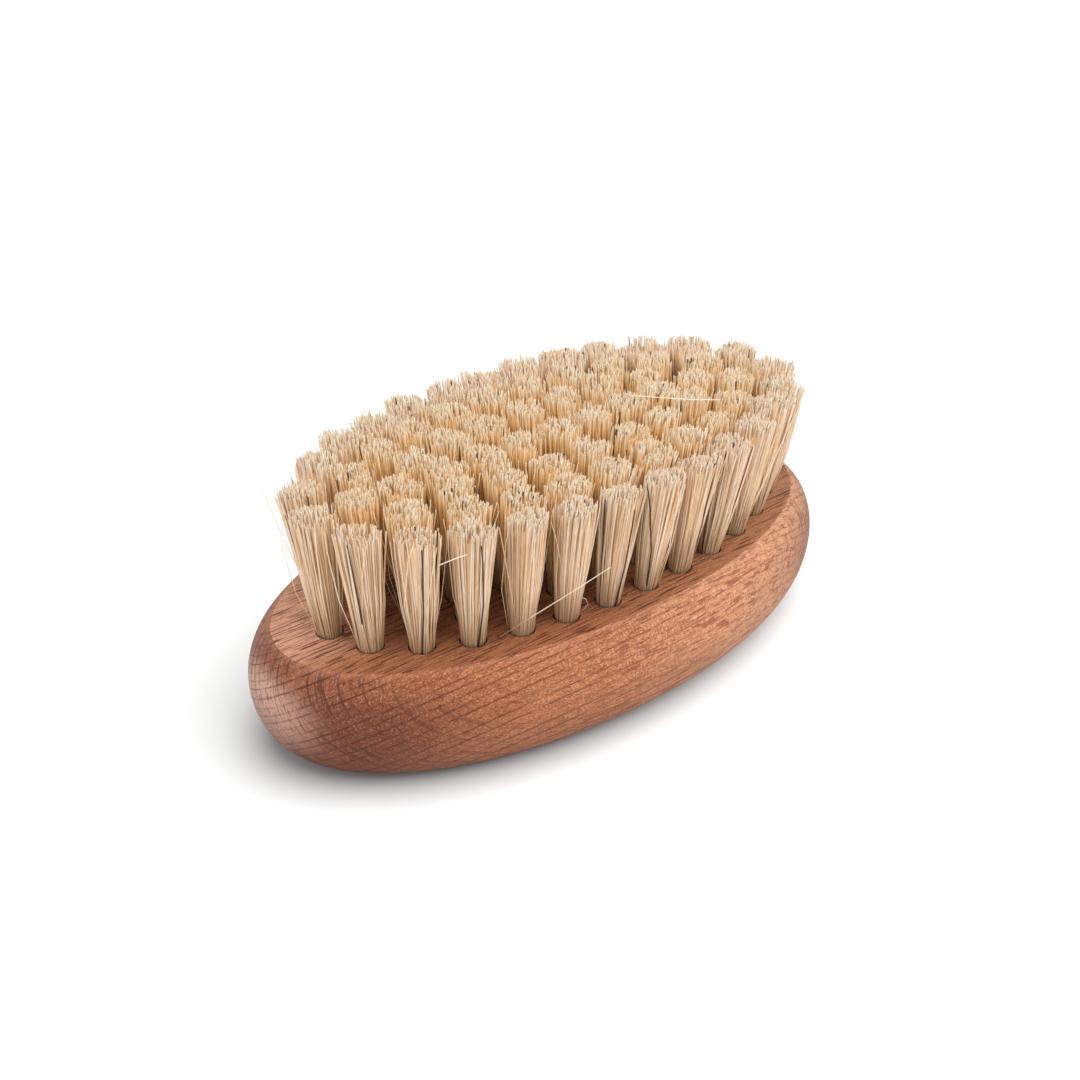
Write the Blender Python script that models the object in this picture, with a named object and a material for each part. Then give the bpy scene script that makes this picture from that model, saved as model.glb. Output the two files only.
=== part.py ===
"""Leather cleaning brush: an oval beech block with natural bristle tufts.

The brush lies on its flat back with the bristles up. Its origin is the middle
of the back, +X runs along its length and +Z points up. All sizes are metres.
Every tuft is a folded bundle of bristles, held by a small metal anchor in a
blind hole of the block, and it fans out above the face.
"""

import math

import bmesh
import bpy
import numpy as np
from mathutils import Matrix, Vector

# Block: the widest outline, the flat bristle face and the flat back
BLOCK_LENGTH = 0.1200
BLOCK_WIDTH = 0.0640
BLOCK_HEIGHT = 0.0220
WIDEST_HEIGHT = 0.0126      # height of the widest outline above the back
FACE_INSET = 0.0046         # from the widest outline in to the flat face
BACK_INSET = 0.0100         # from the widest outline in to the flat back
RIM_TURN = 62.0             # degrees of the side's upper arc, which the flat face cuts off
OUTLINE_SIDES = 72
UPPER_STEPS = 5
LOWER_STEPS = 6

# Tuft pattern: oval rings round a centre row, drilled straight down in the face
RING_COUNT = 3
END_MARGIN = 0.0077         # face edge to outer ring, at the ends
SIDE_MARGIN = 0.0058        # face edge to outer ring, at the sides
END_STEP = 0.0079           # from one ring in to the next, at the ends
TUFT_PITCH = 0.0084         # along a ring, rounded so that the pitch is even
ROW_PITCH = 0.0075          # along the centre row, at the least
ROW_WALL = 0.0002           # wood left between the row's end holes and the inmost ring
PATTERN_SHIFT = 0.0013      # the pattern sits this far towards +X
SIDE_LEAN = 8.2             # degrees, outwards at the sides; the inner rings lean less
END_LEAN = 3.5              # degrees, outwards at the ends of the pattern
SEPARATE_RINGS = ("outer", "second")

# Holes, roots and anchors
HOLE_DIAMETER = 0.0046
HOLE_DEPTH = 0.0125
ROOT_CLEARANCE = 0.0003     # root to hole, at the wall and at the floor
ROUND_SIDES = 8             # sides of a hole and of the root in it
FOLD_HEIGHT = 0.0012        # where the folded bristles round in at the bottom
FOLD_INSET = 0.0007
ANCHOR_OVERHANG = 0.00012   # past the root's flats on each side
ANCHOR_THICKNESS = 0.0004
ANCHOR_HEIGHT = 0.0018
ANCHOR_LIFT = 0.0016        # anchor's lower edge above the root's bottom

# Bristles: each strand is a lock of bristles, thicker at its split tips
BRISTLE_HEIGHT = 0.0228
STRANDS_ROUND = 5           # strands round the one in the middle of a tuft
STRAND_SIDES = 3
STRAND_BASE_RADIUS = 0.00055
STRAND_TIP_RADIUS = 0.00085
TIP_CLEARANCE = 0.0001      # between the tips of neighbouring tufts
TIP_UNEVENNESS = 0.0005     # how far the trimmed tips differ in height
STRAND_SINK = 0.0006        # how far a strand starts below the face

# Slice of the face that carries the innermost ring and the centre row
SLICE_THICKNESS = 0.0022
SLICE_CLEARANCE = 0.0003

GOLDEN_TURN = math.pi * (3.0 - math.sqrt(5.0))
FACE_HALF_LENGTH = BLOCK_LENGTH / 2 - FACE_INSET
FACE_HALF_WIDTH = BLOCK_WIDTH / 2 - FACE_INSET
RING_HALF_LENGTH = FACE_HALF_LENGTH - END_MARGIN
RING_HALF_WIDTH = FACE_HALF_WIDTH - SIDE_MARGIN
RING_STEP = RING_HALF_WIDTH / RING_COUNT
LEAST_STEP = min(TUFT_PITCH, ROW_PITCH, END_STEP, RING_STEP)
TIP_SPREAD = (LEAST_STEP - TIP_CLEARANCE) / 2 - STRAND_TIP_RADIUS
ROOT_RADIUS = HOLE_DIAMETER / 2 - ROOT_CLEARANCE
ROOT_LENGTH = HOLE_DEPTH - ROOT_CLEARANCE


def clear_scene():
    """Removes every object, so that the script starts from nothing."""
    for obj in list(bpy.data.objects):
        bpy.data.objects.remove(obj, do_unlink=True)


def new_collection(name):
    """Makes a collection and links it to the scene."""
    collection = bpy.data.collections.new(name)
    bpy.context.scene.collection.children.link(collection)
    return collection


def make_material(name, colour, roughness, metallic=0.0):
    """Makes a Principled BSDF material of one colour."""
    material = bpy.data.materials.new(name)
    material.use_nodes = True
    shader = material.node_tree.nodes["Principled BSDF"]
    shader.inputs["Base Color"].default_value = (*colour, 1.0)
    shader.inputs["Roughness"].default_value = roughness
    shader.inputs["Metallic"].default_value = metallic
    material.diffuse_color = (*colour, 1.0)
    return material


def mesh_from(bm, name, smooth_angle=40.0):
    """Turns a bmesh into a mesh with smooth round sides and sharp rims."""
    bmesh.ops.recalc_face_normals(bm, faces=bm.faces)
    mesh = bpy.data.meshes.new(name)
    bm.to_mesh(mesh)
    bm.free()
    mesh.shade_smooth()
    mesh.set_sharp_from_angle(angle=math.radians(smooth_angle))
    return mesh


def add_object(name, mesh, collection, material=None):
    """Links a mesh to a collection as an object."""
    obj = bpy.data.objects.new(name, mesh)
    collection.objects.link(obj)
    if material is not None:
        mesh.materials.clear()
        mesh.materials.append(material)
    return obj


def add_cutter(name, mesh, collection):
    """Links a mesh as a helper that is never rendered."""
    cutter = add_object(name, mesh, collection)
    cutter.hide_render = True
    cutter.display_type = "WIRE"
    return cutter


def add_boolean(obj, cutter, operation):
    """Adds an exact Boolean modifier that uses a helper object."""
    modifier = obj.modifiers.new(operation.title(), "BOOLEAN")
    modifier.operation = operation
    modifier.solver = "EXACT"
    modifier.object = cutter
    return modifier


def union_mesh(name, first, others, helpers):
    """Joins closed meshes, which overlap the first one, into one body."""
    carrier = add_object(name, first, helpers)
    tools = [add_cutter(f"{name}_tool_{i}", mesh, helpers)
             for i, mesh in enumerate(others)]
    for tool in tools:
        add_boolean(carrier, tool, "UNION")
    bpy.context.view_layer.update()
    evaluated = carrier.evaluated_get(bpy.context.evaluated_depsgraph_get())
    mesh = bpy.data.meshes.new_from_object(evaluated)
    mesh.name = name
    for helper in [carrier] + tools:
        bpy.data.objects.remove(helper, do_unlink=True)
    return mesh


def oval_stack(bm, levels, sides):
    """Lofts a closed body through ovals, given as (half length, half width, z)."""
    loops = []
    for half_length, half_width, z in levels:
        ring = bmesh.ops.create_circle(bm, cap_ends=False, segments=sides, radius=1.0)
        bmesh.ops.scale(bm, vec=(half_length, half_width, 1.0), verts=ring["verts"])
        bmesh.ops.translate(bm, vec=(0.0, 0.0, z), verts=ring["verts"])
        loops.append(list({edge for vert in ring["verts"] for edge in vert.link_edges}))
    for lower, upper in zip(loops, loops[1:]):
        bmesh.ops.bridge_loops(bm, edges=lower + upper)
    for end in (loops[0], loops[-1]):
        bmesh.ops.contextual_create(bm, geom=end)


def block_levels():
    """The block's outlines from the back up to the face.

    The side is two arcs of ellipses, which meet at the widest outline. The lower
    one runs level into the flat back, and the flat face cuts the upper one off.
    """
    half_length = BLOCK_LENGTH / 2
    half_width = BLOCK_WIDTH / 2
    upper_height = BLOCK_HEIGHT - WIDEST_HEIGHT
    levels = []
    for step in range(LOWER_STEPS):
        turn = math.pi / 2 * step / LOWER_STEPS
        inset = BACK_INSET * (1.0 - math.sin(turn))
        z = WIDEST_HEIGHT * (1.0 - math.cos(turn))
        levels.append((half_length - inset, half_width - inset, z))
    rim_turn = math.radians(RIM_TURN)
    for step in range(UPPER_STEPS + 1):
        turn = rim_turn * step / UPPER_STEPS
        inset = FACE_INSET * (1.0 - math.cos(turn)) / (1.0 - math.cos(rim_turn))
        z = WIDEST_HEIGHT + upper_height * math.sin(turn) / math.sin(rim_turn)
        levels.append((half_length - inset, half_width - inset, z))
    return levels


def ring_size(ring):
    """Half length and half width of an oval ring, counted from the outer one."""
    return RING_HALF_LENGTH - END_STEP * ring, RING_HALF_WIDTH - RING_STEP * ring


def leaning_place(x, y, sideways):
    """A tuft's place as (x, y, angle it leans towards, lean in degrees).

    The lean grows with x towards the ends, and sideways is its share across.
    """
    along = END_LEAN * x / RING_HALF_LENGTH
    across = SIDE_LEAN * sideways
    return x + PATTERN_SHIFT, y, math.atan2(across, along), math.hypot(along, across)


def ring_places(ring):
    """Leaning places on one oval ring at an equal pitch, from its -X end round."""
    half_length, half_width = ring_size(ring)
    turn = np.linspace(math.pi, 3.0 * math.pi, 2881)
    x = half_length * np.cos(turn)
    y = half_width * np.sin(turn)
    run = np.concatenate(([0.0], np.cumsum(np.hypot(np.diff(x), np.diff(y)))))
    count = round(run[-1] / TUFT_PITCH)
    share = math.sqrt(1.0 - (ring / RING_COUNT) ** 2)
    return [leaning_place(half_length * math.cos(t), half_width * math.sin(t),
                          share * math.sin(t))
            for t in np.interp(run[-1] * np.arange(count) / count, run, turn)]


def centre_places():
    """Leaning places on the centre row, from its -X end.

    A point on an oval's long axis at x is sqrt(1 - x^2 / (a^2 - b^2)) times b from
    the oval, which gives the row's half length from the room its end holes need.
    """
    long_half, short_half = ring_size(RING_COUNT - 1)
    room = min(1.0, (HOLE_DIAMETER + ROW_WALL) / short_half)
    half_length = math.sqrt((long_half ** 2 - short_half ** 2) * (1.0 - room ** 2))
    gaps = int(2.0 * half_length / ROW_PITCH)
    return [leaning_place(half_length * (2 * i - gaps) / max(1, gaps), 0.0, 0.0)
            for i in range(gaps + 1)]


def place_matrix(x, y, turn):
    """A tuft's frame: its hole's axis at the face, turned to the way it leans."""
    return Matrix.Translation((x, y, BLOCK_HEIGHT)) @ Matrix.Rotation(turn, 4, "Z")


def root_mesh(top):
    """The folded bundle that fills a hole, rounded in at its bottom."""
    bm = bmesh.new()
    levels = [(ROOT_RADIUS - FOLD_INSET, -ROOT_LENGTH),
              (ROOT_RADIUS, -ROOT_LENGTH + FOLD_HEIGHT),
              (ROOT_RADIUS, top)]
    oval_stack(bm, [(radius, radius, z) for radius, z in levels], ROUND_SIDES)
    return mesh_from(bm, "root")


def anchor_mesh():
    """The flat metal anchor across a root, which the bristles are folded over.

    Its ends come out through the middles of two of the root's flats.
    """
    bm = bmesh.new()
    cube = bmesh.ops.create_cube(bm, size=1.0)
    half_turn = math.pi / ROUND_SIDES
    reach = ROOT_RADIUS * math.cos(half_turn) + ANCHOR_OVERHANG
    size = (2.0 * reach, ANCHOR_THICKNESS, ANCHOR_HEIGHT)
    bmesh.ops.scale(bm, vec=size, verts=cube["verts"])
    lift = -ROOT_LENGTH + ANCHOR_LIFT + ANCHOR_HEIGHT / 2
    frame = Matrix.Translation((0.0, 0.0, lift)) @ Matrix.Rotation(half_turn, 4, "Z")
    bmesh.ops.transform(bm, matrix=frame, verts=cube["verts"])
    return mesh_from(bm, "anchor")


def strands_mesh(lean):
    """The strands of one tuft: straight, fanning out, leaning towards +X.

    A strand is a thin cone with level ends, whose upper end is pushed aside.
    """
    bm = bmesh.new()
    base_spread = ROOT_RADIUS - STRAND_BASE_RADIUS * 1.25
    lean_run = BRISTLE_HEIGHT * math.tan(math.radians(lean))
    for i in range(STRANDS_ROUND + 1):
        spread = 0.0 if i == 0 else 1.0
        turn = 2.0 * math.pi * i / STRANDS_ROUND
        way = Vector((math.cos(turn), math.sin(turn), 0.0)) * spread
        rise = BRISTLE_HEIGHT - TIP_UNEVENNESS * (0.5 - 0.5 * math.sin(GOLDEN_TURN * i))
        length = rise + STRAND_SINK
        middle = Matrix.Translation((0.0, 0.0, length / 2 - STRAND_SINK))
        cone = bmesh.ops.create_cone(
            bm, cap_ends=True, cap_tris=False, segments=STRAND_SIDES,
            radius1=STRAND_BASE_RADIUS, radius2=STRAND_TIP_RADIUS, depth=length,
            matrix=middle @ Matrix.Rotation(turn, 4, "Z"))
        upper = [vert for vert in cone["verts"] if vert.co.z > 0.0]
        bmesh.ops.translate(bm, vec=way * base_spread, verts=cone["verts"])
        push = way * (TIP_SPREAD - base_spread) + Vector((lean_run, 0.0, 0.0))
        bmesh.ops.translate(bm, vec=push, verts=upper)
    return mesh_from(bm, "strands")


def tuft_mesh(name, lean, root_top, helpers):
    """One tuft as a single body: root, anchor and strands."""
    return union_mesh(name, root_mesh(root_top), [anchor_mesh(), strands_mesh(lean)], helpers)


def gathered_mesh(name, meshes_and_frames):
    """Copies meshes to their frames and gathers them in one mesh."""
    bm = bmesh.new()
    for mesh, frame in meshes_and_frames:
        before = len(bm.verts)
        bm.from_mesh(mesh)
        bm.verts.ensure_lookup_table()
        bmesh.ops.transform(bm, matrix=frame, verts=bm.verts[before:])
    return mesh_from(bm, name)


def holes_mesh(places):
    """Cutters for the blind holes, each turned as the root in it."""
    above = HOLE_DEPTH / 4
    bm = bmesh.new()
    for x, y, turn, _ in places:
        depth = HOLE_DEPTH + above
        middle = Matrix.Translation((0.0, 0.0, above - depth / 2))
        bmesh.ops.create_cone(
            bm, cap_ends=True, cap_tris=False, segments=ROUND_SIDES,
            radius1=HOLE_DIAMETER / 2, radius2=HOLE_DIAMETER / 2, depth=depth,
            matrix=place_matrix(x, y, turn) @ middle)
    return mesh_from(bm, "holes")


def slice_mesh(name, inset, low, high):
    """An oval slab between two heights, half way out to the ring round it."""
    half_length, half_width = ring_size(RING_COUNT - 1.5)
    bm = bmesh.new()
    oval_stack(bm, [(half_length - inset, half_width - inset, z) for z in (low, high)],
               OUTLINE_SIDES)
    bmesh.ops.translate(bm, vec=(PATTERN_SHIFT, 0.0, 0.0), verts=bm.verts)
    return mesh_from(bm, name)


def build_block(parts, helpers, wood, places):
    """The beech block, with its blind holes and the recess for the slice."""
    bm = bmesh.new()
    oval_stack(bm, block_levels(), OUTLINE_SIDES)
    block = add_object("block", mesh_from(bm, "block"), parts, wood)
    floor = BLOCK_HEIGHT - SLICE_THICKNESS - SLICE_CLEARANCE
    recess = slice_mesh("recess", 0.0, floor, BLOCK_HEIGHT + SLICE_THICKNESS)
    add_boolean(block, add_cutter("recess_cutter", recess, helpers), "DIFFERENCE")
    add_boolean(block, add_cutter("hole_cutters", holes_mesh(places), helpers), "DIFFERENCE")
    return block


def build_ring(parts, helpers, bristle, ring, label):
    """The separate tufts of one ring."""
    for i, (x, y, turn, lean) in enumerate(ring_places(ring), start=1):
        name = f"{label}_tuft_{i:02d}"
        tuft = add_object(name, tuft_mesh(name, lean, 0.0, helpers), parts, bristle)
        tuft.location = (x, y, BLOCK_HEIGHT)
        tuft.rotation_euler = (0.0, 0.0, turn)


def build_inner_tufts(parts, helpers, bristle):
    """The innermost ring and the centre row, fused to the slice that carries them."""
    root_top = -STRAND_SINK / 2
    places = centre_places()
    for ring in range(len(SEPARATE_RINGS), RING_COUNT):
        places += ring_places(ring)
    tufts = [(tuft_mesh("inner_tuft", lean, root_top, helpers), place_matrix(x, y, turn))
             for x, y, turn, lean in places]
    slab = slice_mesh("slice", SLICE_CLEARANCE, BLOCK_HEIGHT - SLICE_THICKNESS, BLOCK_HEIGHT)
    mesh = union_mesh("inner_tufts", slab, [gathered_mesh("inner", tufts)], helpers)
    return add_object("inner_tufts", mesh, parts, bristle)


def main():
    clear_scene()
    parts = new_collection("leather_cleaning_brush")
    helpers = new_collection("helpers")
    wood = make_material("beech", (0.53, 0.27, 0.15), 0.55)
    bristle = make_material("natural_bristle", (0.78, 0.62, 0.41), 0.6)
    places = centre_places()
    for ring in range(RING_COUNT):
        places += ring_places(ring)
    build_block(parts, helpers, wood, places)
    for ring, label in enumerate(SEPARATE_RINGS):
        build_ring(parts, helpers, bristle, ring, label)
    build_inner_tufts(parts, helpers, bristle)


main()
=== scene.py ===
"""Looks of the leather cleaning brush: an oval beech block with natural bristles.

Everything is in metres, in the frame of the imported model: +X runs along the
block, +Z from its flat back up to the bristle tips.
"""

import math

import bpy
import numpy as np
from mathutils import Matrix, Vector


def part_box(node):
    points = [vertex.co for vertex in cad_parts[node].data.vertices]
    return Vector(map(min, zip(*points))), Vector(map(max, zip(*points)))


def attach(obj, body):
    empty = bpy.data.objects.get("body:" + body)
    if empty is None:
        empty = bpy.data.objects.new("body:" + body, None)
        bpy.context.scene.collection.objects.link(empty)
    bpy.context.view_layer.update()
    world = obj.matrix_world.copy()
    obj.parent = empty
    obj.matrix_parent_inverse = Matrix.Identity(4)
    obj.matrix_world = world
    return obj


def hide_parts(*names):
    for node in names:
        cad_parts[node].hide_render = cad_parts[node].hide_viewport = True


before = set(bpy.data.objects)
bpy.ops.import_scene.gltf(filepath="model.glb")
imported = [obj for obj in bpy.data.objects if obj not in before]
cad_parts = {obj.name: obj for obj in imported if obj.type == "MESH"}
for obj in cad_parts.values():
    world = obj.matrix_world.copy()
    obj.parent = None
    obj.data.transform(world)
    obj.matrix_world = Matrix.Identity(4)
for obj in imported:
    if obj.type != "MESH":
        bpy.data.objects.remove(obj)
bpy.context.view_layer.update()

# Camera: where it looks from, and how far the block's middle lies off its axis
CAMERA_AZIMUTH = -38.10
CAMERA_ELEVATION = 31.14
CAMERA_ROLL = -0.32
CAMERA_DISTANCE = 0.2646
CAMERA_AIM = (-0.00221, 0.01876)
CAMERA_LENS = 46.7
CAMERA_NEAR = 0.005
SENSOR = 36.0

# Studio: far lamps as name, place, width in degrees and strength
LIGHTS = (
    ("key_light", (0.82, -0.34, 0.50), 56.0, 1.35),
    ("front_light", (0.30, -0.82, 0.50), 56.0, 1.02),
    ("fill_light", (-0.75, -0.45, 0.55), 60.0, 0.78),
    ("side_light", (-0.80, 0.50, 0.55), 60.0, 0.80),
)
FLOOR_LIGHT = ("floor_light", (0.30, -0.24, 1.00), 78.0, 8.4)
FLOOR_HALF = 3.0
FLOOR_GREY = 0.20           # the floor as it lights the brush
FLOOR_SEEN = 0.37           # the floor as the camera sees it
SKY_LIGHT = 0.56            # the sky's strength on the brush
SKY_SEEN = 1.0

# Block: outline, side arcs and the rounding of its rim
block_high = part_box("block")[1]
HALF_LENGTH = block_high.x
HALF_WIDTH = block_high.y
BLOCK_HEIGHT = block_high.z
WIDEST_HEIGHT = 0.0126
FACE_INSET = 0.0046
BACK_INSET = 0.0100
RIM_TURN = math.radians(62.0)
RIM_ROUNDING = 0.0003
FACE_LEDGE = 0.0003         # level strip inside the rounded rim
LOWER_POINTS = 19
UPPER_POINTS = 15
RIM_POINTS = 9
OUTLINE_SIDES = 256
SHARP_ANGLE = math.radians(28.0)
PITH_REACH = 0.150          # from the block's middle to the middle of its tree
PITH_TILT = math.radians(31.0)
YEAR_WIDTH = 0.00138

# Tuft pattern: three oval rings round a centre row, a little towards +X
RING_COUNT = 3
END_MARGIN = 0.0077
SIDE_MARGIN = 0.0058
END_STEP = 0.0079
TUFT_PITCH = 0.0084
ROW_PITCH = 0.0075
ROW_WALL = 0.0002
PATTERN_SHIFT = 0.0013
SIDE_LEAN = 8.2
END_LEAN = 3.5
RING_SAMPLES = 2881         # points on an oval that its length is measured with
HOLE_RADIUS = 0.0023
HOLE_DEPTH = 0.0125
HOLE_SIDES = 28
DRILL_CONE = (0.0006, 0.0004)       # width and depth of the slope round its bottom
CUTTER_RISE = 0.002
RING_HALF_LENGTH = HALF_LENGTH - FACE_INSET - END_MARGIN
RING_HALF_WIDTH = HALF_WIDTH - FACE_INSET - SIDE_MARGIN
RING_STEP = RING_HALF_WIDTH / RING_COUNT

# Tufts
BRISTLE_HEIGHT = 0.0228
STRANDS = 250               # in one tuft
OUTER_SEED, SECOND_SEED, INNER_SEED = 11, 12, 13
BUNDLE_RADIUS = 0.00195
OUTER_FAN = 0.0039          # from an outer tuft's middle out to its tips, on average
FAN_SWING = 0.13            # the share by which the tufts at the back and at +X are wider
INNER_FAN = 0.0036
FAN_POWER = 1.1             # above 1, strands stay closer to the middle of the fan
LOCKS = 11                  # groups of strands in a tuft that cling together
LOCK_PULL = 0.12            # how far a strand goes to the middle of its lock
TUFT_SHADE = 0.55           # how much a strand is lit as its tuft's side is
SHADE_END, SHADE_FADE = 0.97, 0.08  # the height where that ends, and how softly
UP_ON_SIDES, UP_AT_TIPS = 0.25, 0.90        # how much its light is turned upwards
FRONT = (-0.45, -0.89)      # the way that the front tufts face
DARK_PLACES = (-0.050, -0.038, -0.031, -0.0075, 0.001, 0.017)   # front tufts by X

# Strands
STRAND_SIDES = 3
STRAND_RADIUS = 0.000150
STRAND_SIZES = (0.65, 1.25)         # thinnest and thickest, as shares of the radius
STRAND_SHARES = (-0.12, 0.42, 0.84, 1.0)        # the height of its points, by its length
STRAND_TAPER = (1.0, 1.0, 1.0, 0.84)
LONGEST = 0.02305           # the longest strands, without their split ends
EDGE_DROP = 0.0008          # how much shorter a tuft is at its edge
BOW_OUT = 0.06              # how far a strand bends outwards, as a share of its fan
WILD_SHARE = 0.08           # strands that go astray, which are thinner and bend more
WILD_SIZE = 0.6
WILD_BOW = 3.0
BLACK_SHARE = 0.006
DARK_SHARE = 0.014          # black and brown strands together
LONG_DARK = 0.78            # how dark the long strands at DARK_PLACES are
FLAG_LENGTH = 0.0007        # split end of a strand
FLAG_LENGTHS = (0.35, 1.0)
FLAG_START = 0.0003         # below the strand's tip
FLAG_SIZE = 0.62            # as a share of the strand's radius
FLAG_RISE = (0.97, 1.03)    # the height that its colour is taken at, foot and point
SPLIT_POINTS = 2 * (STRAND_SIDES + 1)

# How much strands differ, as standard deviations
PLACE_SPREAD = 0.02
OUTLINE_SPREAD = 0.07
TIP_SPREAD = 0.00042
WILD_SPREAD = 0.0014
BOW_SPREAD = 0.00020
LOCK_SPREAD = 0.5
LOCK_DRIFT = 0.00034
LENGTH_SPREAD = 0.00032
LOCK_LENGTH_SPREAD = 0.00030
TUFT_LENGTH_SPREAD = 0.00015
SPLIT_SPREAD = (0.17, (1.0, 1.0, 0.2))
FLUTE_SPREAD = 0.05
TONE, TONE_SPREAD, PALEST = 0.60, 0.26, 1.2
CORE_TONE, CORE_TONE_SPREAD, CORE_TONES = 0.30, 0.28, (-0.3, 0.9)

# Packed middle of a tuft: its widths, and how much deeper its colour is, by height, which near
# its top is painted shade among the strand tips
CORE_SIDES = 38
CORE_SHARES = (-0.12, 0.40, 0.80, 0.905, 0.930)
CORE_WIDTHS = (0.80, 0.78, 0.75, 0.70, 0.46)
CORE_PAINTED_SHADE = (0.0, 0.0, 0.0, 0.15, 0.40)
CORE_POINTS = CORE_SIDES * len(CORE_SHARES)

# Map of a piece of bristles: a square cell from 0 to 1 for each strand and each core
CELL_MARGIN = 0.05
SHEET_HEIGHT = 0.8          # of a tube's unrolled sides
DISC_RADIUS = 0.06          # of its two ends, which lie above the sides
DISC_PLACES = ((0.08, 0.90), (0.24, 0.90))
STRAND_RIGHT = 0.55         # a strand's sides end there
SPLIT_LEFT = 0.6            # and its split ends start there
SPLIT_CELL = (0.12, 0.4)

# Loose hairs on the outer tufts, four points each
LOOSE_HAIRS = (
    ((-0.0258, -0.0188, 0.0222), (-0.0240, -0.0245, 0.0282),
     (-0.0174, -0.0275, 0.0322), (-0.0099, -0.0275, 0.0336)),
    ((-0.0394, -0.0225, 0.0430), (-0.0387, -0.0238, 0.0440),
     (-0.0372, -0.0242, 0.0443), (-0.0355, -0.0242, 0.0442)),
    ((0.0177, -0.0003, 0.0456), (0.0204, -0.0057, 0.0463),
     (0.0240, -0.0096, 0.0463), (0.0288, -0.0118, 0.0456)),
    ((-0.0125, -0.0238, 0.0245), (-0.0118, -0.0243, 0.0256),
     (-0.0123, -0.0243, 0.0268), (-0.0131, -0.0240, 0.0274)),
)


# ---------------------------------------------------------------- shader maths


class Value:
    """A number or colour that varies over a surface; arithmetic adds Math nodes."""

    def __init__(self, tree, socket):
        self.tree = tree
        self.socket = socket

    def maths(self, operation, *numbers):
        return self.tree.node("ShaderNodeMath", {"operation": operation},
                              dict(enumerate(numbers)))

    def __add__(self, other):
        return self.maths("ADD", self, other)

    __radd__ = __add__

    def __sub__(self, other):
        return self.maths("SUBTRACT", self, other)

    def __rsub__(self, other):
        return self.maths("SUBTRACT", other, self)

    def __mul__(self, other):
        return self.maths("MULTIPLY", self, other)

    __rmul__ = __mul__

    def __truediv__(self, other):
        return self.maths("DIVIDE", self, other)

    def __pow__(self, other):
        return self.maths("POWER", self, other)

    def step(self, low, high, start=0.0, end=1.0):
        """Rises smoothly from start to end as the value goes from low to high."""
        return self.tree.node("ShaderNodeMapRange", {"interpolation_type": "SMOOTHSTEP"},
                              {0: self, 1: low, 2: high, 3: start, 4: end})


class Tree:
    """The nodes of a material or of the world."""

    def __init__(self, owner):
        owner.use_nodes = True
        self.owner = owner
        self.nodes, self.links = owner.node_tree.nodes, owner.node_tree.links

    def node(self, kind, settings=None, inputs=None, output=0):
        """Adds a node, with its settings first and then its sockets' values or links."""
        made = self.nodes.new(kind)
        for name, setting in (settings or {}).items():
            setattr(made, name, setting)
        for name, value in (inputs or {}).items():
            if isinstance(value, Value):
                self.links.new(value.socket, made.inputs[name])
            else:
                made.inputs[name].default_value = value
        return Value(self, made.outputs[output])

    def seen(self):
        """1 for what the camera sees, by itself or in gloss or glass, and 0 otherwise."""
        seen = self.node("ShaderNodeLightPath", output="Is Camera Ray")
        for ray in ("Is Glossy Ray", "Is Transmission Ray"):
            seen = seen.maths("MAXIMUM", seen, self.node("ShaderNodeLightPath", output=ray))
        return seen


class Finish(Tree):
    """A procedural material: one Principled shader and the nodes that feed it."""

    def __init__(self, name, **constants):
        super().__init__(bpy.data.materials.new(name))
        self.shader = self.nodes["Principled BSDF"]
        for socket, constant in constants.items():
            self.shader.inputs[socket.replace("_", " ")].default_value = constant
        self.x, self.y, self.z = self.parts(self.node("ShaderNodeTexCoord", output="Object"))

    def parts(self, vector):
        """The three values of a place or a direction."""
        split = self.node("ShaderNodeSeparateXYZ", inputs={0: vector})
        return [Value(self, socket) for socket in split.socket.node.outputs]

    def point(self, x, y, z):
        """A place made of three values."""
        return self.node("ShaderNodeCombineXYZ", inputs={0: x, 1: y, 2: z})

    def noise(self, place, detail=2.0, roughness=0.5):
        """Soft noise about 0.5, one lump a unit."""
        return self.node("ShaderNodeTexNoise", {"noise_dimensions": "3D"},
                         {"Vector": place, "Scale": 1.0, "Detail": detail,
                          "Roughness": roughness})

    def bump(self, height, depth, strength):
        """A normal that follows a height from 0 to 1, which stands for the depth."""
        return self.node("ShaderNodeBump", inputs={"Strength": strength, "Distance": depth,
                                                   "Height": height})

    def blend(self, share, first, second):
        """Goes from the first colour to the second one as share goes from 0 to 1."""
        return self.node("ShaderNodeMix", {"data_type": "RGBA"},
                         {0: share, 6: first, 7: second}, 2)

    def feed(self, **sockets):
        """Links values to the shader's sockets, and gives the material."""
        for name, value in sockets.items():
            self.links.new(value.socket, self.shader.inputs[name.replace("_", " ")])
        return self.owner


def colour(red, green, blue):
    """A colour as a socket takes it."""
    return (red, green, blue, 1.0)


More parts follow.
